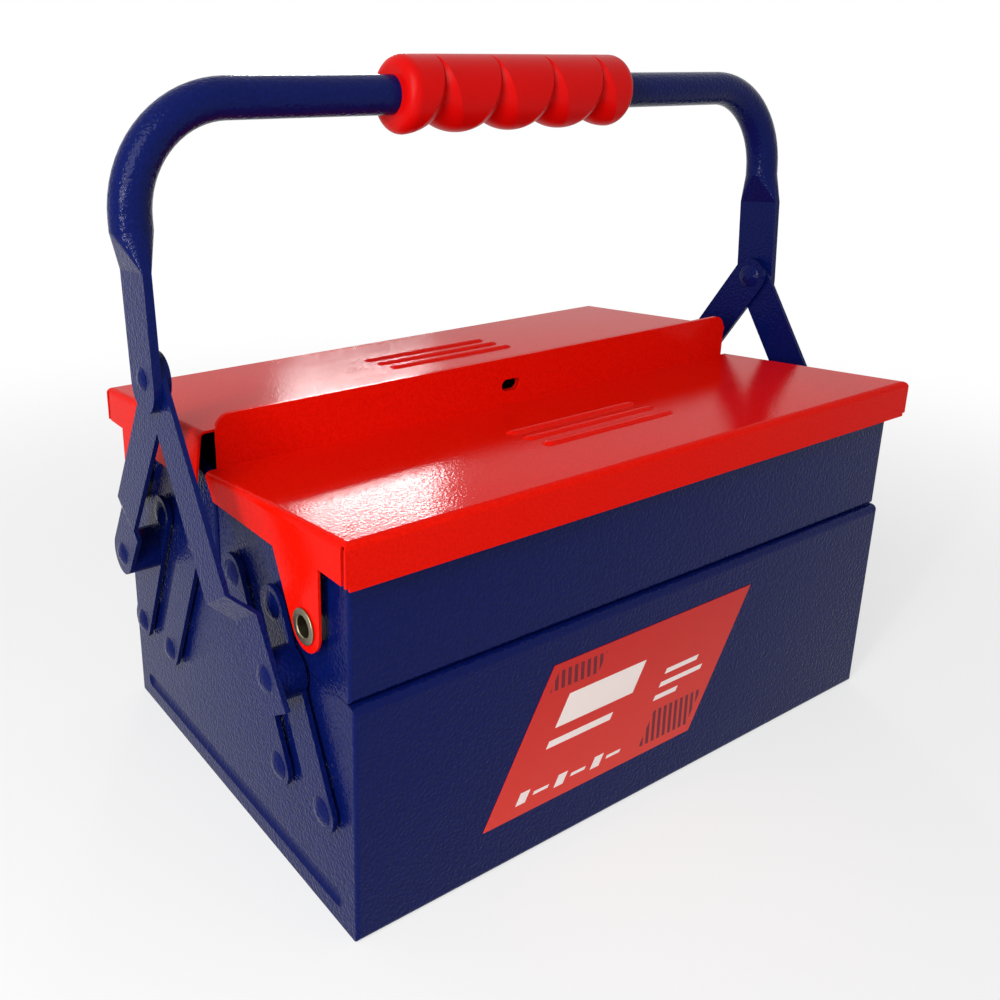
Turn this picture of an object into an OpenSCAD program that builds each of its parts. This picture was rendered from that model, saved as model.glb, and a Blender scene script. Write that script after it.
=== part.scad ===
// Cantilever tool box in folded sheet steel: a bottom box, two upper trays that swing out
// on parallel links, two hinged lids, and a tubular carrying handle that works the links
// through two pairs of bars. Closed and latched shape, millimetres, Z up, front face at -Y,
// length along X, origin at the middle of the underside.

/* [Box] */
// Length of the bottom box and the trays, end wall to end wall
box_length = 300; // [280:5:330]
// Depth of the bottom box, front to back
box_depth = 198.2; // [190:0.2:206]
// Height of the bottom box
base_height = 96.5; // [92:0.5:98]
// Thickness of the folded sheet
sheet_t = 1; // [0.8:0.1:1.2]
// Outer radius of the rolled rim along the front and back walls
rim_r = 3.4; // [2.5:0.1:4]

/* [Trays] */
// How far each tray's outer wall stands back from the wall of the bottom box
tray_setback = 2.6; // [1:0.1:3]
// Gap between the two trays
tray_gap = 2.4; // [2:0.1:4]
// Height above the ground of the trays' outer walls
tray_top_outer = 148; // [145:0.5:148]
// Height above the ground of the trays' inner walls
tray_top_inner = 144; // [140:0.5:146]

/* [Lids] */
// Length over the lids' side flanges
lid_length = 309.2; // [309:0.1:310]
// Depth over both lids' outer flanges
lid_depth = 204.6; // [204:0.1:206]
// Height of the lids' outer edges
lid_top = 158.6; // [158:0.1:160]
// Height of the front lid's inner edge, from which its upright ridge rises
front_lid_inner = 150.5; // [149:0.1:152]
// Height of the rear lid's inner edge, from which its lip hangs
rear_lid_inner = 165.5; // [164:0.1:166]
// Height of the top of the front lid's ridge
ridge_top = 172; // [170:0.5:174]
// Height of the lower edge of the front and rear flanges
flange_low = 142; // [141:0.5:144]
// Height of the lower edge of the side flanges
side_flange_low = 140; // [139:0.5:142]

/* [Links and bars] */
// Distance of the outer links' lower pivots from the middle
outer_pivot_y = 82; // [80:0.5:83]
// Distance between the inner and outer links' pivots
link_spacing = 31.5; // [30:0.5:32]
// Height of the links' lower pivots
low_pivot_z = 47; // [45:0.5:49]
// Height of the links' upper pivots when the box is closed
high_pivot_z = 114; // [112:0.5:116]
// How far each link leans inwards when the box is closed
link_lean = 32; // [30:0.5:33]
// Width of the links
link_w = 16; // [14:0.5:17]
// Width of the bars between the links and the handle
bar_w = 19; // [17:0.5:20]
// Thickness of the links and bars
plate_t = 2; // [1.6:0.2:2]
// Height of the handle's pivot when the box is closed
handle_pivot_z = 190.5; // [188:0.5:192]

/* [Handle] */
// Diameter of the handle's tube
tube_d = 15.6; // [15:0.1:16]
// Height of the tube's top run above the handle's pivot
handle_rise = 97; // [92:1:100]
// Radius of the tube's bends, at its middle line
bend_r = 40; // [34:1:44]
// How far the standing handle leans back, in degrees
handle_lean = 3.5; // [0:0.5:5]
// Length of the moulded grip
grip_length = 124; // [120:1:130]
// Radius of the moulded grip
grip_r = 15.5; // [15:0.1:16.5]

/* [Hidden] */
$fn = 64;

// Colours of the finished pieces
blue = "midnightblue";
red = "crimson";
nickel = "silver";

// Box and trays
half_len = box_length / 2;
half_dep = box_depth / 2;
corner_r = 1.5;
fold_r = 2;
rim_return = 3;
end_return = 5;
rest_gap = 0.3;
tray_bottom = base_height + rest_gap;
tray_outer_y = half_dep - tray_setback;
tray_inner_y = tray_gap / 2;
hem_w = 5;
bead_w = 7;
bead_deep = 1.5;
bead_z = 10.5;
bead_half = 86;
bead_r = (bead_w * bead_w / 4 + bead_deep * bead_deep) / (2 * bead_deep);

// Lids
lid_half_len = lid_length / 2;
lid_out_y = lid_depth / 2;
lid_t = 1;
lid_inside = lid_half_len - lid_t;
lid_r = 2.6;
lid_low = 100;
front_lid_y = 1.9;
rear_lid_y = 1.5;
ridge_half = 149;
ridge_corner = 7;
lip_low = 153.5;
lip_half = 148;
slot_z = 159;
slot_len = 11;
slot_w = 5.6;
hem_h = 4.5;
ear_y = 76;
ear_z = 118.5;
ear_r = 9.4;
ear_shoulder_y = 55;
flange_start_y = 8;
notch_z = 143.5;
slit_w = 1.8;
rib_w = 6;
rib_h = 1.2;
rib_len = 74;
rib_pitch = 11;
eyelet_r = 5;
eyelet_bore = 4;
eyelet_rim = 6.6;
eyelet_lip = 0.9;

// Linkage, written for the front left corner; the others are mirror images
inner_pivot_y = outer_pivot_y - link_spacing;
top_outer_y = outer_pivot_y - link_lean;
top_inner_y = inner_pivot_y - link_lean;
washer_t = 1.4;
play = 0.1;
shank_r = 2.6;
shank_gap = 0.05;
head_r = 5.5;
head_h = 1.7;
tail_h = 1.2;
tail_r = 4.2;
washer_r = 6;
link_x = half_len + washer_t + play;
link_out = link_x + plate_t;
knee_y = 62;
knee_z = 94;
knee_r = 9.5;
spacer_r = 9.5;
front_low_x = 161.6;
rear_low_x = 165.6;
rear_high_x = 168.6;
front_high_x = rear_high_x + plate_t + play;
bar_past = 13;
bar_angle = atan2(handle_pivot_z - knee_z, knee_y);
bar_len = norm([knee_y, handle_pivot_z - knee_z]);
joggle_at = 22;
joggle_run = 9;

// Handle
end_t = 3.4;
end_w = 21.5;
end_x = front_high_x + plate_t + play;
leg_x = end_x + end_t / 2;
end_below = 13;
flat_rise = 39;
neck_rise = 53;
tube_r = tube_d / 2;
bore_r = tube_r - 1.4;
pivot_r = 3;
grip_bore = tube_r + 0.02;
lobe_pitch = 29;
groove_deep = 5.6;
groove_shift = groove_deep / 2;

// Slope of a lid, drawn as the front one, from its outer edge up to its inner edge
function lid_slope(y_in, z_in) = atan2(z_in - lid_top, lid_out_y - y_in);

// Point of a tray's end wall that is nearest to the closed lid, square above the lid's pivot
function lid_rest(y_in, z_in) =
    let (slope = lid_slope(y_in, z_in))
    let (under = z_in - (ear_y - y_in) * tan(slope) - lid_t / cos(slope))
    let (reach = (under - ear_z) * cos(slope) - rest_gap)
    [-ear_y - reach * sin(slope), ear_z + reach * cos(slope)];

// A rectangle centred on the origin with round corners
module round_rect(w, d, r) {
    square([w - 2 * r, d], center = true);
    square([w, d - 2 * r], center = true);
    for (x = [-1, 1], y = [-1, 1])
        translate([x * (w / 2 - r), y * (d / 2 - r)]) circle(r);
}

// A slot with round ends, centred on the origin
module slot_2d(len, w) {
    square([len - w, w], center = true);
    for (x = [-1, 1]) translate([x * (len - w) / 2, 0]) circle(w / 2);
}

// A quarter of a bend in sheet, seen in section; the corner points to quadrant (sx, sy)
module bend_2d(r, t, sx, sy) {
    intersection() {
        difference() {
            circle(r);
            circle(r - t);
        }
        translate([sx > 0 ? 0 : -r, sy > 0 ? 0 : -r]) square(r);
    }
}

// Turns an outline drawn in Y and Z into a plate from x to x + t
module side_plate(x, t) {
    translate([x, 0, 0]) rotate([90, 0, 90]) linear_extrude(t) children();
}

// Puts a piece drawn for the front left corner at another corner
module corner(side, face) {
    mirror([side > 0 ? 1 : 0, 0, 0]) mirror([0, face > 0 ? 1 : 0, 0]) children();
}

// The same piece at both ends of the box
module both_ends(face) {
    corner(-1, face) children();
    corner(1, face) children();
}

// Places a piece that was turned about Z onto a pivot, its axis running outwards along -X
module on_pivot(y, z) {
    translate([0, -y, z]) rotate([0, -90, 0]) children();
}

// Domed rivet head, flat side at zero
module dome(r, h) {
    ball = (r * r + h * h) / (2 * h);
    intersection() {
        translate([0, 0, h - ball]) sphere(ball);
        cylinder(r = r, h = h);
    }
}

// Rivet from a tail face to a head face, measured outwards from the middle of the box
module rivet(tail_face, head_face, r) {
    translate([0, 0, tail_face]) cylinder(r = r, h = head_face - tail_face);
    translate([0, 0, tail_face]) mirror([0, 0, 1]) dome(tail_r, tail_h);
    translate([0, 0, head_face]) dome(head_r, head_h);
}

// Washer with a shank hole
module washer(face, t, r_out, r_in) {
    translate([0, 0, face]) difference() {
        cylinder(r = r_out, h = t);
        translate([0, 0, -1]) cylinder(r = r_in, h = t + 2);
    }
}

// Wall of the bottom box in section: straight sheet, rolled rim and its return
module rolled_wall_2d() {
    translate([-half_dep, fold_r]) square([sheet_t, base_height - fold_r - rim_r]);
    translate([-half_dep + rim_r, base_height - rim_r]) bend_2d(rim_r, sheet_t, -1, 1);
    translate([-half_dep + rim_r, base_height - sheet_t]) square([rim_return, sheet_t]);
    translate([-half_dep + fold_r, fold_r]) bend_2d(fold_r, sheet_t, -1, -1);
}

// Outline of an end wall of the bottom box
module base_end_2d() {
    translate([-half_dep + rim_r, 0]) square([box_depth - 2 * rim_r, base_height]);
    translate([-half_dep, fold_r]) square([box_depth, base_height - rim_r - fold_r]);
    for (s = [-1, 1]) {
        translate([s * (half_dep - rim_r), base_height - rim_r]) circle(rim_r);
        translate([s * (half_dep - fold_r), fold_r]) circle(fold_r);
    }
}

// Stiffening bead along the foot of an end wall, as a bar of round section
module bead_bar(r) {
    rotate([-90, 0, 0]) translate([0, 0, -bead_half]) cylinder(r = r, h = 2 * bead_half);
    for (s = [-1, 1]) translate([0, s * bead_half, 0]) sphere(r);
}

// End wall with its bead pressed inwards, its top return and its four pivot holes
module base_end() {
    bead_axis = -half_len - bead_r + bead_deep;
    difference() {
        union() {
            side_plate(-half_len, sheet_t) base_end_2d();
            intersection() {
                translate([bead_axis, 0, bead_z]) bead_bar(bead_r + sheet_t);
                translate([-half_len, -half_dep, 1]) cube([10, box_depth, 30]);
            }
            translate([-half_len, -half_dep + rim_r, base_height - sheet_t])
                cube([end_return, box_depth - 2 * rim_r, sheet_t]);
        }
        translate([bead_axis, 0, bead_z]) bead_bar(bead_r);
        for (s = [-1, 1], y = [outer_pivot_y, inner_pivot_y])
            translate([-half_len - 1, s * y, low_pivot_z])
                rotate([0, 90, 0]) cylinder(r = shank_r, h = sheet_t + 2);
    }
}

module base_box() {
    color(blue) intersection() {
        union() {
            side_plate(-half_len, box_length) {
                rolled_wall_2d();
                mirror([1, 0]) rolled_wall_2d();
                translate([-half_dep + fold_r, 0]) square([box_depth - 2 * fold_r, sheet_t]);
            }
            base_end();
            mirror([1, 0, 0]) base_end();
        }
        linear_extrude(base_height) round_rect(box_length, box_depth, corner_r);
    }
}

// Every lower pivot of one end, as places for rivets and washers
module low_pivots() {
    for (side = [-1, 1], face = [-1, 1], y = [outer_pivot_y, inner_pivot_y])
        corner(side, face) on_pivot(y, low_pivot_z) children();
}

module base_rivets() {
    color(blue) low_pivots() rivet(half_len - sheet_t, link_out + play, shank_r);
}

module base_washers() {
    color(blue) low_pivots() washer(half_len, washer_t, washer_r, shank_r);
}

// Folded walls and floor of a tray in section, drawn for the front tray
module tray_section_2d() {
    floor_z = tray_bottom;
    translate([-tray_outer_y + fold_r, floor_z])
        square([tray_outer_y - tray_inner_y - 2 * fold_r, sheet_t]);
    translate([-tray_outer_y + fold_r, floor_z + fold_r]) bend_2d(fold_r, sheet_t, -1, -1);
    translate([-tray_inner_y - fold_r, floor_z + fold_r]) bend_2d(fold_r, sheet_t, 1, -1);
    translate([-tray_outer_y, floor_z + fold_r])
        square([sheet_t, tray_top_outer - floor_z - 2 * fold_r]);
    translate([-tray_outer_y + fold_r, tray_top_outer - fold_r]) bend_2d(fold_r, sheet_t, -1, 1);
    translate([-tray_outer_y + fold_r, tray_top_outer - sheet_t]) square([hem_w, sheet_t]);
    translate([-tray_inner_y - sheet_t, floor_z + fold_r])
        square([sheet_t, tray_top_inner - floor_z - 2 * fold_r]);
    translate([-tray_inner_y - fold_r, tray_top_inner - fold_r]) bend_2d(fold_r, sheet_t, 1, 1);
    translate([-tray_inner_y - fold_r - hem_w, tray_top_inner - sheet_t]) square([hem_w, sheet_t]);
}

// End wall of a tray: its top rises from the middle of the box to the point peak, where the
// lid rests, and drops to the outer wall so that the lid turns clear of it
module tray_end_2d(peak) {
    polygon([
        [-tray_outer_y + fold_r, tray_bottom], [-tray_inner_y - fold_r, tray_bottom],
        [-tray_inner_y, tray_bottom + fold_r], [-tray_inner_y, tray_top_inner - fold_r],
        [-tray_inner_y - fold_r, tray_top_inner], peak,
        [-tray_outer_y + fold_r, tray_top_outer], [-tray_outer_y, tray_top_outer - fold_r],
        [-tray_outer_y, tray_bottom + fold_r]]);
    translate([-tray_outer_y + fold_r, tray_top_outer - fold_r]) circle(fold_r);
    translate([-tray_outer_y + fold_r, tray_bottom + fold_r]) circle(fold_r);
    translate([-tray_inner_y - fold_r, tray_bottom + fold_r]) circle(fold_r);
    translate([-tray_inner_y - fold_r, tray_top_inner - fold_r]) circle(fold_r);
}

// Strip of sheet turned inwards along the sloping top of a tray's end wall
module tray_end_return_2d(peak) {
    polygon([
        [-tray_inner_y - fold_r, tray_top_inner], peak, [-tray_outer_y + fold_r, tray_top_outer],
        [-tray_outer_y + fold_r, tray_top_outer - sheet_t], [peak[0], peak[1] - sheet_t],
        [-tray_inner_y - fold_r, tray_top_inner - sheet_t]]);
}

module tray(y_in, z_in) {
    width = tray_outer_y - tray_inner_y;
    peak = lid_rest(y_in, z_in);
    color(blue) difference() {
        intersection() {
            union() {
                side_plate(-half_len, box_length) tray_section_2d();
                for (side = [0, 1]) mirror([side, 0, 0]) {
                    side_plate(-half_len, sheet_t) tray_end_2d(peak);
                    side_plate(-half_len, end_return) tray_end_return_2d(peak);
                }
            }
            translate([0, -(tray_outer_y + tray_inner_y) / 2, 0])
                linear_extrude(ridge_top) round_rect(box_length, width, corner_r);
        }
        both_ends(-1) {
            for (y = [top_outer_y, top_inner_y])
                on_pivot(y, high_pivot_z) translate([0, 0, half_len - 5]) cylinder(r = shank_r, h = 10);
            on_pivot(ear_y, ear_z) translate([0, 0, half_len - 5]) cylinder(r = eyelet_r, h = 10);
        }
    }
}

module front_tray() {
    tray(front_lid_y, front_lid_inner);
}

module rear_tray() {
    mirror([0, 1, 0]) tray(rear_lid_y, rear_lid_inner);
}

// The four upper pivots of one tray, as places for rivets and washers
module high_pivots(face) {
    for (side = [-1, 1], y = [top_outer_y, top_inner_y])
        corner(side, face) on_pivot(y, high_pivot_z) children();
}

module front_tray_rivets() {
    color(blue) high_pivots(-1) rivet(half_len - sheet_t, link_out + play, shank_r);
}

module rear_tray_rivets() {
    color(blue) high_pivots(1) rivet(half_len - sheet_t, link_out + play, shank_r);
}

module front_tray_washers() {
    color(blue) high_pivots(-1) washer(half_len, washer_t, washer_r, shank_r);
}

module rear_tray_washers() {
    color(blue) high_pivots(1) washer(half_len, washer_t, washer_r, shank_r);
}

// Hollow eyelet that a lid turns on: barrel, shoulder behind the lid, rolled rims
module eyelet() {
    inner = half_len - sheet_t;
    rotate_extrude() difference() {
        union() {
            translate([0, inner - eyelet_lip])
                square([eyelet_r, lid_half_len + eyelet_lip + play - inner + eyelet_lip]);
            translate([0, half_len]) square([eyelet_rim, lid_inside - play - half_len]);
            translate([0, lid_half_len + play]) square([eyelet_rim - eyelet_lip / 2, eyelet_lip]);
            translate([eyelet_rim - eyelet_lip / 2, lid_half_len + play + eyelet_lip / 2])
                circle(eyelet_lip / 2);
            translate([0, inner - eyelet_lip]) square([eyelet_rim - 0.5, eyelet_lip]);
        }
        translate([-1, inner - 5]) square([eyelet_bore + 1, 20]);
        translate([eyelet_bore, lid_half_len + play + eyelet_lip]) circle(eyelet_lip / 2);
    }
}

module front_lid_eyelets() {
    color(nickel) both_ends(-1) on_pivot(ear_y, ear_z) eyelet();
}

module rear_lid_eyelets() {
    color(nickel) both_ends(1) on_pivot(ear_y, ear_z) eyelet();
}

// Section of a lid across the box, offset inwards: r is the outer or the inner bend radius
module lid_section_2d(y_in, z_in, r, past) {
    slope = lid_slope(y_in, z_in);
    yc = -lid_out_y + lid_r;
    zc = z_in + ((yc + y_in) * sin(slope) - lid_r) / cos(slope);
    end_y = -y_in + past;
    end_z = zc + ((end_y - yc) * sin(slope) + r) / cos(slope);
    polygon([
        [yc - r, lid_low], [yc - r, zc], [yc, zc],
        [yc - r * sin(slope), zc + r * cos(slope)], [end_y, end_z], [end_y, lid_low]]);
    translate([yc, zc]) circle(r);
}

// Section of a lid along the box, its top at zero
module lid_width_2d(r) {
    half = lid_half_len - lid_r;
    translate([-half, -80]) square([2 * half, 80 - lid_r + r]);
    translate([-half - r, -80]) square([2 * (half + r), 80 - lid_r]);
    for (s = [-1, 1]) translate([s * half, -lid_r]) circle(r);
}

// Solid block with the outer or the inner surfaces of a lid
module lid_block(y_in, z_in, r, past) {
    slope = lid_slope(y_in, z_in);
    intersection() {
        side_plate(-lid_half_len - 1, lid_length + 2) lid_section_2d(y_in, z_in, r, past);
        translate([0, -y_in, z_in]) rotate([slope, 0, 0]) translate([0, 20, 0])
            rotate([90, 0, 0]) linear_extrude(140) lid_width_2d(r);
    }
}

// Outline of a side flange: a band under the lid's top, an ear round the pivot, a corner notch
module side_flange_2d(y_in, z_in) {
    d = norm([ear_y - ear_shoulder_y, side_flange_low - ear_z]);
    turn = atan2(side_flange_low - ear_z, ear_y - ear_shoulder_y) - acos(ear_r / d);
    touch = [-ear_y + ear_r * cos(turn), ear_z + ear_r * sin(turn)];
    polygon([
        [-y_in + 5, z_in + 20], [-y_in + 5, z_in - 1], [-y_in, z_in - 1.5],
        [-flange_start_y, side_flange_low], [-ear_shoulder_y, side_flange_low], touch,
        [-ear_y, ear_z], [-ear_y - ear_r, ear_z], [-ear_y - ear_r, notch_z],
        [-lid_out_y - 1, notch_z], [-lid_out_y - 1, z_in + 20]]);
    translate([-ear_y, ear_z]) circle(ear_r);
}

// Slot for the padlock, cut through the ridge and the lip
module padlock_slot() {
    translate([0, 20, slot_z]) rotate([90, 0, 0]) linear_extrude(40) slot_2d(slot_len, slot_w);
}

// Low rib of round section pressed up in the lid's top, lying along X at height zero
module pressed_rib() {
    r = (rib_w * rib_w / 4 + rib_h * rib_h) / (2 * rib_h);
    half = rib_len / 2 - rib_w / 2;
    intersection() {
        translate([0, 0, rib_h - r]) union() {
            translate([-half, 0, 0]) rotate([0, 90, 0]) cylinder(r = r, h = 2 * half);
            for (s = [-1, 1]) translate([s * half, 0, 0]) sphere(r);
        }
        translate([-rib_len, -rib_w, -0.2]) cube([2 * rib_len, 2 * rib_w, 3]);
    }
}

// Folded pan of a lid, drawn as the front one, with three plain pressed ribs
module lid_pan(y_in, z_in) {
    slope = lid_slope(y_in, z_in);
    difference() {
        union() {
            difference() {
                lid_block(y_in, z_in, lid_r, 0);
                lid_block(y_in, z_in, lid_r - lid_t, 5);
            }
            translate([0, -y_in, z_in]) rotate([slope, 0, 0])
                for (n = [-1, 0, 1]) translate([0, -lid_out_y / 2 + n * rib_pitch, 0]) pressed_rib();
        }
        for (side = [0, 1]) mirror([side, 0, 0]) {
            difference() {
                translate([-lid_half_len - 2, -lid_out_y - 3, lid_low - 1])
                    cube([lid_t + 2.6, lid_out_y + 9, 100]);
                side_plate(-lid_half_len - 3, lid_t + 6) side_flange_2d(y_in, z_in);
            }
            translate([-lid_half_len - 2, -lid_out_y + lid_t, lid_low - 1])
                cube([lid_r + 2, slit_w, lid_top - lid_r / 2 - lid_low + 1]);
            on_pivot(ear_y, ear_z) translate([0, 0, lid_inside - 5])
                cylinder(r = eyelet_r + shank_gap, h = 12);
        }
        translate([-lid_length, -lid_out_y - 1, lid_low - 1])
            cube([2 * lid_length, lid_t + 1.02, flange_low - lid_low + 1]);
    }
}

// Upright plate between two Y faces, its outline drawn in X and Z
module cross_plate(y, t) {
    translate([0, y + t, 0]) rotate([90, 0, 0]) linear_extrude(t) children();
}

module front_lid() {
    color(red) difference() {
        union() {
            lid_pan(front_lid_y, front_lid_inner);
            cross_plate(-front_lid_y, lid_t) difference() {
                translate([0, ridge_top - 25]) round_rect(2 * ridge_half, 50, ridge_corner);
                translate([-200, 0]) square([400, front_lid_inner - lid_t]);
            }
            cross_plate(-front_lid_y + lid_t, lid_t) intersection() {
                translate([0, ridge_top - 25]) round_rect(2 * ridge_half, 50, ridge_corner);
                translate([-200, ridge_top - hem_h]) square([400, hem_h]);
            }
        }
        padlock_slot();
    }
}

module rear_lid() {
    color(red) mirror([0, 1, 0]) difference() {
        union() {
            lid_pan(rear_lid_y, rear_lid_inner);
            cross_plate(-rear_lid_y, lid_t) difference() {
                translate([0, lip_low + 25]) round_rect(2 * lip_half, 50, ridge_corner - 1);
                translate([-200, rear_lid_inner]) square([400, 100]);
            }
        }
        padlock_slot();
    }
}

// Flat strip with round ends between two pivots, in Y and Z
module strip_2d(y1, z1, y2, z2, w) {
    turn = atan2(z2 - z1, y1 - y2);
    len = norm([y2 - y1, z2 - z1]);
    translate([-y1, z1]) circle(w / 2);
    translate([-y2, z2]) circle(w / 2);
    translate([-y1, z1]) rotate(turn) translate([0, -w / 2]) square([len, w]);
}

module hole_2d(y, z, r) {
    translate([-y, z]) circle(r);
}

// Outer link: a strip with a round knee that carries the bar's rivet
module outer_link() {
    color(blue) side_plate(-link_out, plate_t) difference() {
        union() {
            strip_2d(outer_pivot_y, low_pivot_z, top_outer_y, high_pivot_z, link_w);
            hole_2d(knee_y, knee_z, knee_r);
        }
        hole_2d(outer_pivot_y, low_pivot_z, shank_r + shank_gap);
        hole_2d(top_outer_y, high_pivot_z, shank_r + shank_gap);
        hole_2d(knee_y, knee_z, shank_r + shank_gap);
    }
}

module inner_link() {
    color(blue) side_plate(-link_out, plate_t) difference() {
        strip_2d(inner_pivot_y, low_pivot_z, top_inner_y, high_pivot_z, link_w);
        hole_2d(inner_pivot_y, low_pivot_z, shank_r + shank_gap);
        hole_2d(top_inner_y, high_pivot_z, shank_r + shank_gap);
    }
}

module front_outer_link_left() {
    corner(-1, -1) outer_link();
}

module front_outer_link_right() {
    corner(1, -1) outer_link();
}

module front_inner_link_left() {
    corner(-1, -1) inner_link();
}

module front_inner_link_right() {
    corner(1, -1) inner_link();
}

// The rear outer links have no hole at the knee: the bar's rivet bears on their face
module rear_outer_link() {
    color(blue) side_plate(-link_out, plate_t) difference() {
        union() {
            strip_2d(outer_pivot_y, low_pivot_z, top_outer_y, high_pivot_z, link_w);
            hole_2d(knee_y, knee_z, knee_r);
        }
        hole_2d(outer_pivot_y, low_pivot_z, shank_r + shank_gap);
        hole_2d(top_outer_y, high_pivot_z, shank_r + shank_gap);
    }
}

module rear_outer_link_left() {
    corner(-1, 1) rear_outer_link();
}

module rear_outer_link_right() {
    corner(1, 1) rear_outer_link();
}

module rear_inner_link_left() {
    corner(-1, 1) inner_link();
}

module rear_inner_link_right() {
    corner(1, 1) inner_link();
}

// Edge view of a bar that steps outwards by step between its lower and its upper end
module joggle_2d(step) {
    low = joggle_at;
    high = joggle_at + joggle_run;
    end = bar_len + bar_past;
    polygon([
        [-bar_past, 0], [low, 0], [high, step], [end, step],
        [end, step + plate_t], [high, step + plate_t], [low, plate_t], [-bar_past, plate_t]]);
}

// Face view of a bar: the upper end is round, the lower end square or round
module bar_face_2d(square_end) {
    half = bar_w / 2;
    translate([0, -half]) square([bar_len, bar_w]);
    translate([bar_len, 0]) circle(half);
    circle(half);
    if (square_end) translate([-bar_past, -half]) square([bar_past, bar_w]);
}

// Bar from the knee of an outer link up to the handle's pivot
module bar(low_x, high_x, square_end, upper_hole) {
    color(blue) translate([-low_x, -knee_y, knee_z]) rotate([bar_angle, 0, 0])
        mirror([1, 0, 0]) difference() {
            intersection() {
                translate([0, 0, -bar_w]) linear_extrude(2 * bar_w) mirror([1, -1])
                    joggle_2d(high_x - low_x);
                rotate([90, 0, 90]) translate([0, 0, -5]) linear_extrude(30)
                    bar_face_2d(square_end);
            }
            rotate([0, 90, 0]) translate([0, 0, -1]) cylinder(r = shank_r, h = plate_t + 2);
            translate([0, bar_len, 0]) rotate([0, 90, 0]) translate([0, 0, -1])
                cylinder(r = upper_hole, h = 30);
        }
}

// The handle's rivet is tight in the front bar; the rear bar and the handle turn on it
module front_bar() {
    bar(front_low_x, front_high_x, true, pivot_r);
}

module rear_bar() {
    bar(rear_low_x, rear_high_x, false, pivot_r + shank_gap);
}

module front_bar_left() {
    corner(-1, -1) front_bar();
}

module front_bar_right() {
    corner(1, -1) front_bar();
}

module rear_bar_left() {
    corner(-1, 1) rear_bar();
}

module rear_bar_right() {
    corner(1, 1) rear_bar();
}

// Rivet of a knee: flush behind the link, domed outside the bar
module front_bar_rivets() {
    color(blue) both_ends(-1) on_pivot(knee_y, knee_z) {
        translate([0, 0, link_x]) cylinder(r = shank_r, h = front_low_x + plate_t - link_x);
        translate([0, 0, front_low_x + plate_t]) dome(head_r, head_h);
    }
}

module rear_bar_rivets() {
    color(blue) both_ends(1) on_pivot(knee_y, knee_z) {
        translate([0, 0, link_out + play]) cylinder(r = shank_r, h = rear_low_x + plate_t - link_out - play);
        translate([0, 0, rear_low_x + plate_t]) dome(head_r, head_h);
    }
}

module front_bar_spacers() {
    color(blue) both_ends(-1) on_pivot(knee_y, knee_z)
        washer(link_out + play, front_low_x - link_out - play, spacer_r, shank_r);
}

module rear_bar_spacers() {
    color(blue) both_ends(1) on_pivot(knee_y, knee_z)
        washer(link_out + play, rear_low_x - link_out - play, spacer_r, shank_r);
}

// Rivets that join both bars and the handle at each end
module handle_rivets() {
    inner = rear_high_x - play;
    outer = end_x + end_t + play;
    color(blue) both_ends(-1) on_pivot(0, handle_pivot_z) {
        translate([0, 0, inner]) cylinder(r = pivot_r, h = outer - inner);
        translate([0, 0, inner]) mirror([0, 0, 1]) dome(head_r + 0.5, head_h);
        translate([0, 0, outer]) dome(head_r - 1, head_h - 0.3);
    }
}

// Bent and straight stretches of the handle's tube with radius r, pivot at the origin
module tube_run(r) {
    span = leg_x - bend_r;
    top = handle_rise - bend_r;
    translate([-span, 0, handle_rise]) rotate([0, 90, 0]) cylinder(r = r, h = 2 * span);
    for (side = [0, 1]) mirror([side, 0, 0]) {
        translate([-span, 0, top]) rotate([-90, 0, 0]) rotate_extrude(angle = 90)
            translate([-bend_r, 0]) circle(r);
        translate([-leg_x, 0, neck_rise]) cylinder(r = r, h = top - neck_rise);
    }
}

// Flattened end of the tube with its pivot hole, and the neck where the tube turns flat
module tube_end() {
    translate([-end_x - end_t, 0, 0]) rotate([90, 0, 90]) linear_extrude(end_t) difference() {
        union() {
            translate([-end_w / 2, -end_below + end_w / 2])
                square([end_w, flat_rise + end_below - end_w / 2]);
            translate([0, -end_below + end_w / 2]) circle(end_w / 2);
        }
        circle(pivot_r + shank_gap);
    }
    hull() {
        translate([-end_x - end_t, -end_w / 2, flat_rise - 0.01]) cube([end_t, end_w, 0.01]);
        translate([-leg_x, 0, neck_rise]) cylinder(r = tube_r, h = 0.01, $fn = 32);
    }
}

module handle_tube() {
    color(blue) translate([0, 0, handle_pivot_z]) rotate([-handle_lean, 0, 0]) {
        difference() {
            tube_run(tube_r);
            tube_run(bore_r);
        }
        tube_end();
        mirror([1, 0, 0]) tube_end();
    }
}

// Outline of the grip's finger lobes, turned about an axis above the tube's
module lobes_2d() {
    high = grip_r + groove_shift;
    rho = (lobe_pitch * lobe_pitch / 4 + groove_deep * groove_deep) / (2 * groove_deep);
    for (n = [-2 : 2]) intersection() {
        translate([high - rho, n * lobe_pitch]) circle(rho, $fn = 96);
        translate([0, (n - 0.5) * lobe_pitch]) square([grip_r * 2, lobe_pitch]);
    }
}

// Moulded grip: a round bar with four finger grooves that fade out towards its top
module handle_grip() {
    end_r = 5;
    color(red) translate([0, 0, handle_pivot_z]) rotate([-handle_lean, 0, 0])
        translate([0, 0, handle_rise]) rotate([0, 90, 0]) difference() {
            intersection() {
                rotate_extrude() intersection() {
                    round_rect(2 * grip_r, grip_length, end_r);
                    translate([0, -grip_length]) square(2 * grip_length);
                }
                translate([-groove_shift, 0, 0]) rotate_extrude() lobes_2d();
            }
            translate([0, 0, -grip_length]) cylinder(r = grip_bore, h = 2 * grip_length);
        }
}

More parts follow.
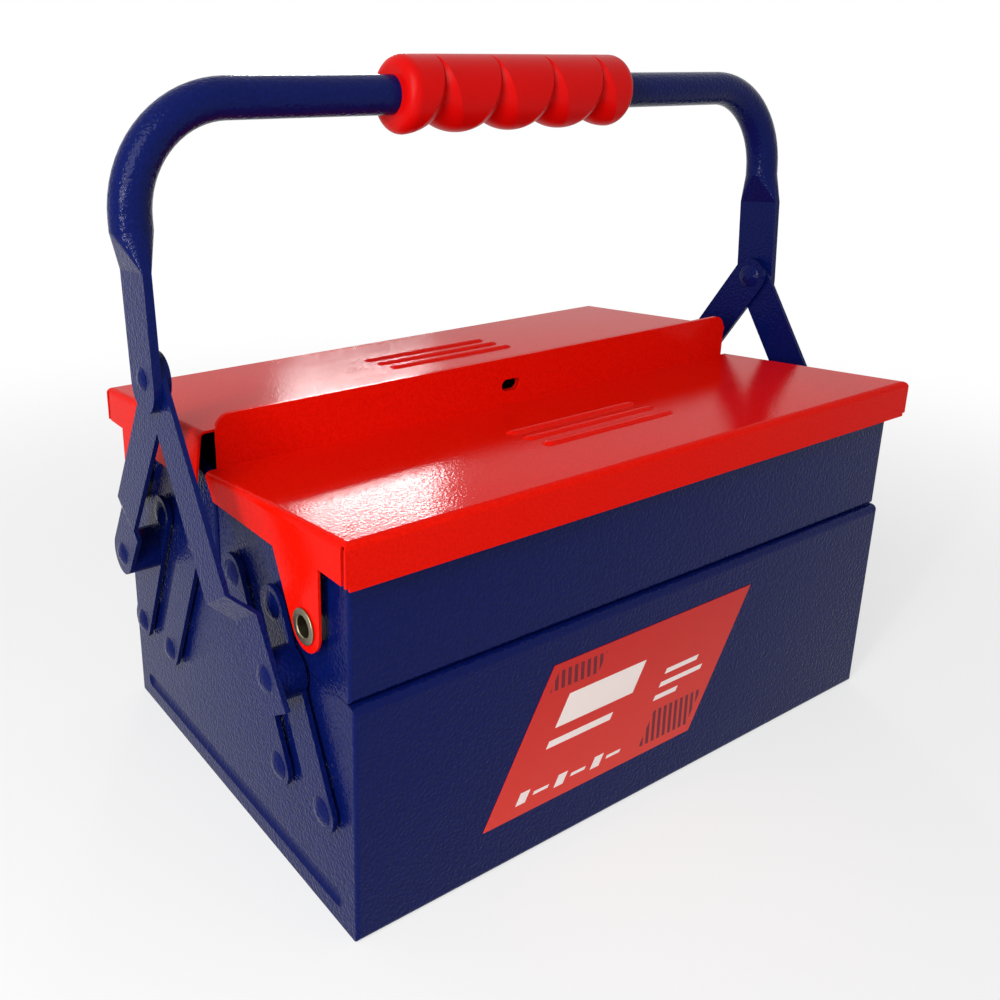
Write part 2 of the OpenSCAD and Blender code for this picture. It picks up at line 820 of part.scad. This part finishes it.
base_box();
base_rivets();
base_washers();
front_tray();
front_tray_rivets();
front_tray_washers();
front_lid_eyelets();
rear_tray();
rear_tray_rivets();
rear_tray_washers();
rear_lid_eyelets();
front_lid();
rear_lid();
front_outer_link_left();
front_outer_link_right();
front_inner_link_left();
front_inner_link_right();
rear_outer_link_left();
rear_outer_link_right();
rear_inner_link_left();
rear_inner_link_right();
front_bar_left();
front_bar_right();
rear_bar_left();
rear_bar_right();
front_bar_rivets();
front_bar_spacers();
rear_bar_rivets();
rear_bar_spacers();
handle_rivets();
handle_tube();
handle_grip();
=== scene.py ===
# %% [markdown]
# # A cantilever tool box in enamelled sheet steel
#
# The box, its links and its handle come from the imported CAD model, whose shapes are finished and
# stay as they are. What the CAD model lacks is a surface: hammered enamel, moulded plastic, nickel
# and a printed sticker. This lesson adds these, a camera that stands where the picture was taken
# from, and soft light on a pale floor.

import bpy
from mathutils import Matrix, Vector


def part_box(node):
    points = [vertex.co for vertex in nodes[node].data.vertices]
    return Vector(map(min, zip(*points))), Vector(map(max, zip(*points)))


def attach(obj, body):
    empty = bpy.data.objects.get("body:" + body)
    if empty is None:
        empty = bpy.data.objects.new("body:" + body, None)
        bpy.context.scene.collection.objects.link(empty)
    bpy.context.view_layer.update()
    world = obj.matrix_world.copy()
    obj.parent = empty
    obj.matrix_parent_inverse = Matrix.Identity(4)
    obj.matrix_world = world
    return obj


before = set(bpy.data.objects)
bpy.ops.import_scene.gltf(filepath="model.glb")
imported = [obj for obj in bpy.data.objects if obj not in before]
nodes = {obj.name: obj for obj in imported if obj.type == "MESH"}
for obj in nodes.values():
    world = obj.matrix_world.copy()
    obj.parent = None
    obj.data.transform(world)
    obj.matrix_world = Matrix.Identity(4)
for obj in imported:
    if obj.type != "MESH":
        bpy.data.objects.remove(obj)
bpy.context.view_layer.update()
print("with", len(nodes), "nodes")

# %% [markdown]
# ## The camera
#
# The place, the turn and the focal length were found by fitting corners of the bottom box, the
# lids and the handle in the picture, with the box's length of 300 mm as the scale. A camera could
# track an empty, but three turns say exactly how it stands: first it rolls a little about its own
# line of sight, then it is tilted down from the horizon, and last it is turned about the vertical.
# Shifting the sensor, instead of turning the camera, moves the object in the frame without
# changing its perspective.

# %% The camera
import math

import bpy
import numpy as np
from mathutils import Matrix, Vector

SENSOR_MM = 36
IMAGE_PX = 1000
nearest_m = 0.01
focal_px = 1036.08
middle_px = (368.095, 411.507)
camera_place_m = (-0.307704, -0.345703, 0.295019)
turn_right_deg = 33.63
tilt_down_deg = 18.024
roll_deg = 0.404

lens = bpy.data.cameras.new("camera")
lens.sensor_width = SENSOR_MM
lens.lens = focal_px * SENSOR_MM / IMAGE_PX
lens.shift_x = 0.5 - middle_px[0] / IMAGE_PX
lens.shift_y = middle_px[1] / IMAGE_PX - 0.5
lens.clip_start = nearest_m
camera = bpy.data.objects.new("camera", lens)
bpy.context.scene.collection.objects.link(camera)
camera.matrix_world = (
    Matrix.Translation(camera_place_m)
    @ Matrix.Rotation(math.radians(-turn_right_deg), 4, "Z")
    @ Matrix.Rotation(math.radians(90 - tilt_down_deg), 4, "X")
    @ Matrix.Rotation(math.radians(-roll_deg), 4, "Z")
)
bpy.context.scene.camera = camera
print("camera with a lens of", round(lens.lens, 2), "mm")

# %% [markdown]
# ## Colours and shader nodes
#
# Colours are written as sRGB hex values, as a painter's colour card gives them. The renderer adds
# up light, so it needs linear values: below a small threshold the sRGB curve is a straight line,
# and above it a power of 2.4. Every shader is a small network. One function adds a node, sets its
# options, and fills or links its inputs. All four finishes end alike, with a surface whose relief
# comes from a pattern, so this end is a function too. Relief in the shader is chosen over real
# dents in the mesh, because dents of this size would take millions of faces.

# %% Colours and shader nodes
MM = 0.001


def linear(colour):
    """A hex colour as linear red, green, blue and an alpha of 1."""
    parts = np.array([int(colour[start:start + 2], 16) for start in (1, 3, 5)]) / 255
    straight = parts / 12.92
    curved = ((parts + 0.055) / 1.055) ** 2.4
    return (*np.where(parts <= 0.04045, straight, curved), 1.0)


def socket(sockets, name):
    """The socket in use that has this name, or the one at this number."""
    if isinstance(name, int):
        return sockets[name]
    return next(each for each in sockets if each.name == name and each.enabled)


def add(tree, kind, inputs=(), **settings):
    """Adds a shader node. An input is a number or colour, a socket of another node, or another
    node, which stands for its first output in use."""
    node = tree.nodes.new("ShaderNode" + kind)
    for name, value in settings.items():
        setattr(node, name, value)
    for name, value in dict(inputs).items():
        target = socket(node.inputs, name)
        if isinstance(value, bpy.types.Node):
            value = next(each for each in value.outputs if each.enabled)
        if isinstance(value, bpy.types.NodeSocket):
            tree.links.new(value, target)
        else:
            target.default_value = value
    return node


def new_material(name, viewport_colour):
    """A material without any nodes yet, and its node tree."""
    material = bpy.data.materials.new(name)
    material.use_nodes = True
    material.node_tree.nodes.clear()
    material.diffuse_color = linear(viewport_colour)
    return material, material.node_tree


def end_with_surface(tree, pattern, depth_mm, inputs):
    """Ends a material with a surface that has these inputs and the relief of a pattern."""
    relief = add(tree, "Bump", {"Height": pattern, "Distance": depth_mm * MM})
    surface = add(tree, "BsdfPrincipled", {**inputs, "Normal": relief})
    add(tree, "OutputMaterial", {"Surface": surface})


print("mid grey as linear light:", round(linear("#808080")[0], 3))

# %% [markdown]
# ## Hammered enamel
#
# The steel is sprayed with a thick gloss enamel that draws together into shallow dimples while it
# dries, a finish called hammered. Each dimple catches the lamp, so that the eye sees a highlight
# broken up into grains. A smooth noise as wide as a dimple, read as a height, bends the light in
# this way, and it thins the coat where it is high, which shifts the colour a little. A second,
# wider noise varies the gloss. Dimples are about a millimetre wide, and finer and shallower on the
# lids. They are drawn somewhat wider and deeper than they are, so that they show at this size.
#
# Enamel is a clear resin with pigment in it, so it isn't metallic, and its gloss comes from the
# index of refraction. That is about 1.5 for a resin. Here it is lower, because a real box stands in
# a dim room, and all the white that gloss mirrors on this floor would wash out the deep colours.

# %% Hammered enamel
patch_mm = 40
patch_spread = 0.05


def hammered_enamel(name, colour, thin_colour, dimple_mm, depth_mm, roughness, gloss):
    """Enamel with rounded dimples of a given width and depth, and with patches of more gloss."""
    material, tree = new_material(name, colour)
    place = add(tree, "TexCoord").outputs["Object"]
    dimples = add(tree, "TexNoise", {"Vector": place, "Scale": 1 / (dimple_mm * MM),
                                     "Detail": 1.0, "Roughness": 0.4})
    patches = add(tree, "TexNoise", {"Vector": place, "Scale": 1 / (patch_mm * MM), "Detail": 2.0})
    coat = add(tree, "Mix", {"Factor": dimples, "A": linear(colour), "B": linear(thin_colour)},
               data_type="RGBA")
    dull = add(tree, "MapRange", {"Value": patches, "To Min": roughness - patch_spread,
                                  "To Max": roughness + patch_spread})
    end_with_surface(tree, dimples, depth_mm, {"Base Color": coat, "Roughness": dull, "IOR": gloss})
    return material


blue_enamel = hammered_enamel("hammered_blue_enamel", "#040c40", "#081656",
                              dimple_mm=1.3, depth_mm=0.28, roughness=0.18, gloss=1.17)
red_enamel = hammered_enamel("hammered_red_enamel", "#c90802", "#e81706",
                             dimple_mm=1.1, depth_mm=0.07, roughness=0.11, gloss=1.09)
print("made", blue_enamel.name, "and", red_enamel.name)

# %% [markdown]
# ## Moulded plastic
#
# The grip is moulded in flexible PVC. The steel of the mould is etched, which leaves a fine grain,
# so the grip is satin to the eye and shows no dimples, and where hands rub it, it becomes a little
# paler. The grain of such a mould is about a tenth of a millimetre wide, and is drawn five times as
# coarse so that it shows. The index of refraction is lowered as it is for the enamel.

# %% Moulded plastic
rubbed_mm = 18
rubbed_spread = 0.08


def moulded_plastic(name, colour, worn_colour, grain_mm, depth_mm, roughness, gloss):
    """Satin plastic with the fine grain of an etched mould, in patches more and less rubbed."""
    material, tree = new_material(name, colour)
    place = add(tree, "TexCoord").outputs["Object"]
    grain = add(tree, "TexNoise", {"Vector": place, "Scale": 1 / (grain_mm * MM), "Detail": 3.0})
    rubbed = add(tree, "TexNoise", {"Vector": place, "Scale": 1 / (rubbed_mm * MM), "Detail": 3.0})
    tint = add(tree, "Mix", {"Factor": rubbed, "A": linear(colour), "B": linear(worn_colour)},
               data_type="RGBA")
    dull = add(tree, "MapRange", {"Value": rubbed, "To Min": roughness - rubbed_spread,
                                  "To Max": roughness + rubbed_spread})
    end_with_surface(tree, grain, depth_mm, {"Base Color": tint, "Roughness": dull, "IOR": gloss})
    return material


red_plastic = moulded_plastic("moulded_red_pvc", "#bd0404", "#cb0806",
                              grain_mm=0.5, depth_mm=0.02, roughness=0.36, gloss=1.18)
print("made", red_plastic.name)

# %% [markdown]
# ## Nickel plate
#
# The eyelets that the lids turn on are pressed from brass and nickel plated. A metal has no colour
# of its own but that of its reflection, so nickel looks like its surroundings with a warm grey
# tint. The press leaves fine marks, drawn here several times as coarse as they are so that they
# show, and the plate tarnishes in small spots, which are darker and duller.

# %% Nickel plate
tarnish_mm = 2.5
tarnish_smoother = 0.08
tarnish_rougher = 0.12


def pressed_nickel(name, colour, dark_colour, mark_mm, depth_mm, roughness):
    """Plated metal with fine marks from the press, and a little tarnish."""
    material, tree = new_material(name, colour)
    place = add(tree, "TexCoord").outputs["Object"]
    tarnish = add(tree, "TexNoise", {"Vector": place, "Scale": 1 / (tarnish_mm * MM), "Detail": 4.0})
    marks = add(tree, "TexNoise", {"Vector": place, "Scale": 1 / (mark_mm * MM)})
    tint = add(tree, "Mix", {"Factor": tarnish, "A": linear(colour), "B": linear(dark_colour)},
               data_type="RGBA")
    dull = add(tree, "MapRange", {"Value": tarnish, "To Min": roughness - tarnish_smoother,
                                  "To Max": roughness + tarnish_rougher})
    end_with_surface(tree, marks, depth_mm, {"Base Color": tint, "Roughness": dull, "Metallic": 1.0})
    return material


nickel = pressed_nickel("nickel_plated_brass", "#a89d84", "#6b6450",
                        mark_mm=0.3, depth_mm=0.01, roughness=0.3)
print("made", nickel.name)

# %% [markdown]
# ## Finishes on the CAD nodes
#
# The CAD nodes arrive with flat colours. Each one gets its finish by name, which keeps the list
# short: the lids are red, the grip is plastic, the eyelets are nickel, and all the rest is blue,
# because the links, the washers and the rivets are put together first and sprayed with the box.

# %% Finishes on the CAD nodes
def finish_of(name):
    """The material that a CAD node has on the real box."""
    if name.endswith("_lid"):
        return red_enamel
    if name.endswith("_grip"):
        return red_plastic
    if name.endswith("_eyelets"):
        return nickel
    return blue_enamel


for name, node in nodes.items():
    for slot in node.material_slots:
        slot.material = finish_of(name)
print("finished", len(nodes), "CAD nodes")

# %% [markdown]
# ## The sticker
#
# A vinyl sticker with slanted ends is stuck to the front wall of the bottom box. A plane with a
# Solidify modifier would do, but a grid of points worked out as whole arrays is closed from the
# start and needs no modifier. One parameter runs along the sticker and one up it, and the slant
# moves each row sideways in proportion to its height. A front sheet, a back sheet and a strip round
# the edge close it into a plate a quarter of a millimetre thick, thicker than real vinyl so that
# its edge shows.

# %% The sticker
sticker_low = 20.7 * MM
sticker_high = 81.9 * MM
sticker_left = -92.7 * MM
sticker_width = 116 * MM
sticker_lean = 33.0 * MM
sticker_slant = sticker_lean / (sticker_high - sticker_low)
sticker_thick = 0.25 * MM
wall_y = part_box("base_box")[0].y


def sheet_grid(columns, rows):
    """Corner indices of the squares of a grid whose points are stored row by row."""
    first = (np.arange(rows - 1)[:, None] * columns + np.arange(columns - 1)).ravel()
    return np.stack([first, first + 1, first + columns + 1, first + columns], axis=1)


def surface_object(name, points, faces):
    """A mesh object at the origin, made from arrays of points and corner indices."""
    mesh = bpy.data.meshes.new(name)
    mesh.from_pydata(points.tolist(), [], faces.tolist())
    mesh.update()
    thing = bpy.data.objects.new(name, mesh)
    bpy.context.scene.collection.objects.link(thing)
    return thing


def slanted_plate(name, columns, rows):
    """A plate on the wall. Its points are at left + along * width + slant * (z - low) in x and at
    low + up * height in z, once on the wall and once in front of it, with a strip between."""
    along, up = np.meshgrid(np.linspace(0, 1, columns), np.linspace(0, 1, rows))
    z = sticker_low + up.ravel() * (sticker_high - sticker_low)
    x = sticker_left + along.ravel() * sticker_width + (z - sticker_low) * sticker_slant
    back = np.stack([x, np.full_like(x, wall_y), z], axis=1)
    front = back - [0, sticker_thick, 0]
    grid = sheet_grid(columns, rows)
    count = columns * rows
    order = np.arange(count).reshape(rows, columns)
    edge = np.concatenate([order[0, :-1], order[:-1, -1], order[-1, :0:-1], order[:0:-1, 0]])
    after = np.roll(edge, -1)
    strip = np.stack([edge, after, after + count, edge + count], axis=1)
    faces = np.concatenate([grid[:, ::-1], grid + count, strip])
    return surface_object(name, np.concatenate([back, front]), faces)


sticker = slanted_plate("front_sticker", columns=30, rows=16)
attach(sticker, "base")
print("sticker with", len(sticker.data.polygons), "faces on the wall at y =", round(wall_y, 4))

# %% [markdown]
# ## Shapes for the print
#
# The sticker is printed with plain bars and slanted stripes. An image would blur close up, so the
# shader draws them from the distance along and up the sticker, and their edges stay sharp at any
# size. A band is 1 between two limits and 0 outside. A band along times a band up is a rectangle,
# which leans with the sticker, and the greatest of several rectangles shows them all. Stripes are
# a band of the fraction that is left when the distance is divided by their spacing.

# %% Shapes for the print
def band(tree, value, low, high):
    """1 where a value lies between two limits, and 0 elsewhere."""
    return add(tree, "Math", {0: value, 1: (low + high) / 2, 2: (high - low) / 2},
               operation="COMPARE")


def rectangles(tree, along, up, sides):
    """1 inside any of the rectangles, each given by its left, right, low and high side in mm."""
    shown = 0.0
    for left, right, low, high in sides:
        inside = add(tree, "Math", {0: band(tree, along, left, right),
                                    1: band(tree, up, low, high)}, operation="MULTIPLY")
        shown = add(tree, "Math", {0: shown, 1: inside}, operation="MAXIMUM")
    return shown


def stripes(tree, along, up, spacing_mm, share, lean):
    """1 on a share of each spacing along the sticker. The stripes lean back as they rise."""
    leaning = add(tree, "Math", {0: up, 1: lean, 2: along}, operation="MULTIPLY_ADD")
    turns = add(tree, "Math", {0: leaning, 1: 1 / spacing_mm}, operation="MULTIPLY")
    return band(tree, add(tree, "Math", {0: turns}, operation="FRACT"), 0.0, share)


line_left, line_thick = 78, 2.2
square_low, square_size = 5, 5
dash_low, dash_high, dash_length = 6.6, 8, 8
heading = [(17, 60, 33, 46), (17, 52, 25, 28)]
small_lines = [(line_left, line_left + length, low, low + line_thick)
               for length, low in ((20, 35), (26, 29.5), (14, 24))]
squares = [(left, left + square_size, square_low, square_low + square_size)
           for left in (13, 33, 53)]
dashes = [(left, left + dash_length, dash_low, dash_high) for left in (21, 41, 61)]
pale_shapes = heading + small_lines + squares + dashes
striped_shapes = [(4, 30, 50, 58), (82, 112, 4, 19)]
print("a print of", len(pale_shapes), "pale and", len(striped_shapes), "striped shapes")

# %% [markdown]
# ## The printed vinyl and its painted reflection
#
# The sticker is a calendered vinyl film, smooth and glossy, printed in red, with the dark stripes
# and then the pale bars over it. The red is paler at the bottom and deeper towards the top, a
# painted reflection of the pale floor that the low part of the wall mirrors. The sticker follows
# the dimples below it, so that it ripples a little and its gloss wavers.

# %% The printed vinyl and its painted reflection
painted_reflection_top_mm = 61.0
ripple_mm = 9
ripple_depth_mm = 0.08


def vinyl_print_and_painted_reflection(name):
    """Gloss vinyl, printed with bars and stripes that follow the slant of the sticker. Its red is
    paler at the bottom, a painted reflection of the floor.
    """
    material, tree = new_material(name, "#c8281e")
    place = add(tree, "TexCoord").outputs["Object"]
    parts = add(tree, "SeparateXYZ", {"Vector": place}).outputs
    up = add(tree, "Math", {0: parts["Z"], 1: 1 / MM, 2: -sticker_low / MM},
             operation="MULTIPLY_ADD")
    straight = add(tree, "Math", {0: parts["X"], 1: 1 / MM, 2: -sticker_left / MM},
                   operation="MULTIPLY_ADD")
    along = add(tree, "Math", {0: up, 1: -sticker_slant, 2: straight}, operation="MULTIPLY_ADD")

    pale = rectangles(tree, along, up, pale_shapes)
    dark = add(tree, "Math", {0: rectangles(tree, along, up, striped_shapes),
                              1: stripes(tree, along, up, spacing_mm=3.4, share=0.55, lean=0.55)},
               operation="MULTIPLY")
    # Painted reflection: the red is paler at the bottom of the sticker, where the wall mirrors the
    # pale floor, and deeper towards the top.
    painted_floor_reflection = add(tree, "MapRange", {"Value": up, "From Max": painted_reflection_top_mm})
    colour = add(tree, "Mix", {"Factor": painted_floor_reflection, "A": linear("#d8352a"), "B": linear("#c42018")},
                 data_type="RGBA")
    for shapes, ink in ((dark, "#6e1424"), (pale, "#f2e3de")):
        colour = add(tree, "Mix", {"Factor": shapes, "A": colour, "B": linear(ink)},
                     data_type="RGBA")
    ripple = add(tree, "TexNoise", {"Vector": place, "Scale": 1 / (ripple_mm * MM), "Detail": 1.0})
    end_with_surface(tree, ripple, ripple_depth_mm,
                     {"Base Color": colour, "Roughness": 0.22, "IOR": 1.25})
    return material


sticker.data.materials.append(vinyl_print_and_painted_reflection("vinyl_print_and_painted_reflection"))
print("printed the sticker with", len(sticker.data.materials[0].node_tree.nodes), "shader nodes")

# %% [markdown]
# ## The floor and the background
#
# The box stands on a pale floor before a white background. Both are white to the eye and to
# anything that mirrors them, which the light path tells, and to all other rays they are matt paint
# and a dimmer room. A floor of plain white would hide the shadow of the box. So near the box the
# floor stays matt paint for a part, on which the shadow shows, and this part fades out with the
# distance, which leaves the floor no edge.

# %% The floor and the background
floor_size_m = 6.0
floor_gap = 0.1 * MM
near_white = 0.6
fade_from_m = 0.25
fade_to_m = 0.8
room_light = 0.45


def seen(tree):
    """1 for rays from the camera, off a gloss or through glass, and 0 for all others."""
    path = add(tree, "LightPath").outputs
    eye_or_gloss = add(tree, "Math", {0: path["Is Camera Ray"], 1: path["Is Glossy Ray"]},
                       operation="MAXIMUM")
    return add(tree, "Math", {0: eye_or_gloss, 1: path["Is Transmission Ray"]},
               operation="MAXIMUM")


def fading_floor(name):
    """Matt paint near the box, which gives way to white with the distance from the middle."""
    material, tree = new_material(name, "#f4f4f4")
    place = add(tree, "TexCoord").outputs["Object"]
    distance = add(tree, "VectorMath", {0: place}, operation="LENGTH").outputs["Value"]
    fading = add(tree, "MapRange", {"Value": distance, "From Min": fade_from_m, "From Max": fade_to_m,
                                    "To Min": near_white}, interpolation_type="SMOOTHSTEP")
    whiteness = add(tree, "Math", {0: fading, 1: seen(tree)}, operation="MULTIPLY")
    matt = add(tree, "BsdfDiffuse", {"Color": linear("#f0f0f0")})
    white = add(tree, "Emission", {"Color": linear("#ffffff"), "Strength": 1.0})
    both = add(tree, "MixShader", {0: whiteness, 1: matt, 2: white})
    add(tree, "OutputMaterial", {"Surface": both})
    return material


corners = np.array([[-1, -1, 0], [1, -1, 0], [1, 1, 0], [-1, 1, 0]]) * floor_size_m / 2
floor = surface_object("floor", corners - [0, 0, floor_gap], np.array([[0, 1, 2, 3]]))
floor.data.materials.append(fading_floor("pale_floor"))

world = bpy.data.worlds.new("studio")
world.use_nodes = True
world.node_tree.nodes.clear()
level = add(world.node_tree, "MapRange", {"Value": seen(world.node_tree), "To Min": room_light})
sky = add(world.node_tree, "Background", {"Color": linear("#ffffff"), "Strength": level})
add(world.node_tree, "OutputWorld", {"Surface": sky})
bpy.context.scene.world = world
print("floor of", floor_size_m, "m and a white background")

# %% [markdown]
# ## The lamps
#
# A picture of a room could light the box, but three lamps are easier to steer, and each has one
# task. A broad soft lamp above the left front lights the lids, the grip and the walls. A lamp far
# behind the box on the right stands so low that the front lid alone mirrors it into the camera:
# this one makes the grainy glare. A lamp as narrow and upright as a strip light stands at the left
# and draws the streak down the legs of the handle. A lamp's power in watts is its radiance
# times pi times its area. It shines along its own -Z, so its +Z is turned away from the box.

# %% The lamps
aim = Vector((0, 0, 0.12))


def soft_lamp(name, turn, height, distance_m, wide, tall, radiance):
    """A lamp of wide by tall metres that faces the box. Its place is given in degrees, by a turn
    from +Y towards +X and by a height over the floor, and by its distance."""
    turn, height = math.radians(turn), math.radians(height)
    out = Vector((math.sin(turn) * math.cos(height), math.cos(turn) * math.cos(height),
                  math.sin(height)))
    data = bpy.data.lights.new(name, "AREA")
    data.shape = "RECTANGLE"
    data.size = wide
    data.size_y = tall
    data.energy = radiance * math.pi * wide * tall
    lamp = bpy.data.objects.new(name, data)
    lamp.matrix_world = (Matrix.Translation(aim + out * distance_m)
                         @ out.to_track_quat("Z", "Y").to_matrix().to_4x4())
    bpy.context.scene.collection.objects.link(lamp)


soft_lamp("key_lamp", turn=-122, height=36, distance_m=0.8, wide=0.4, tall=0.4, radiance=6.5)
soft_lamp("glare_lamp", turn=30.5, height=15.2, distance_m=2.9, wide=0.46, tall=0.2, radiance=40)
soft_lamp("strip_lamp", turn=-112, height=12, distance_m=1.3, wide=0.07, tall=0.5, radiance=60)
print("three lamps aimed at", tuple(round(place, 2) for place in aim))

# %% [markdown]
# ## The view transform
#
# The colours render as they are written, with the Standard view transform.

# %% The view transform
bpy.context.scene.view_settings.view_transform = "Standard"
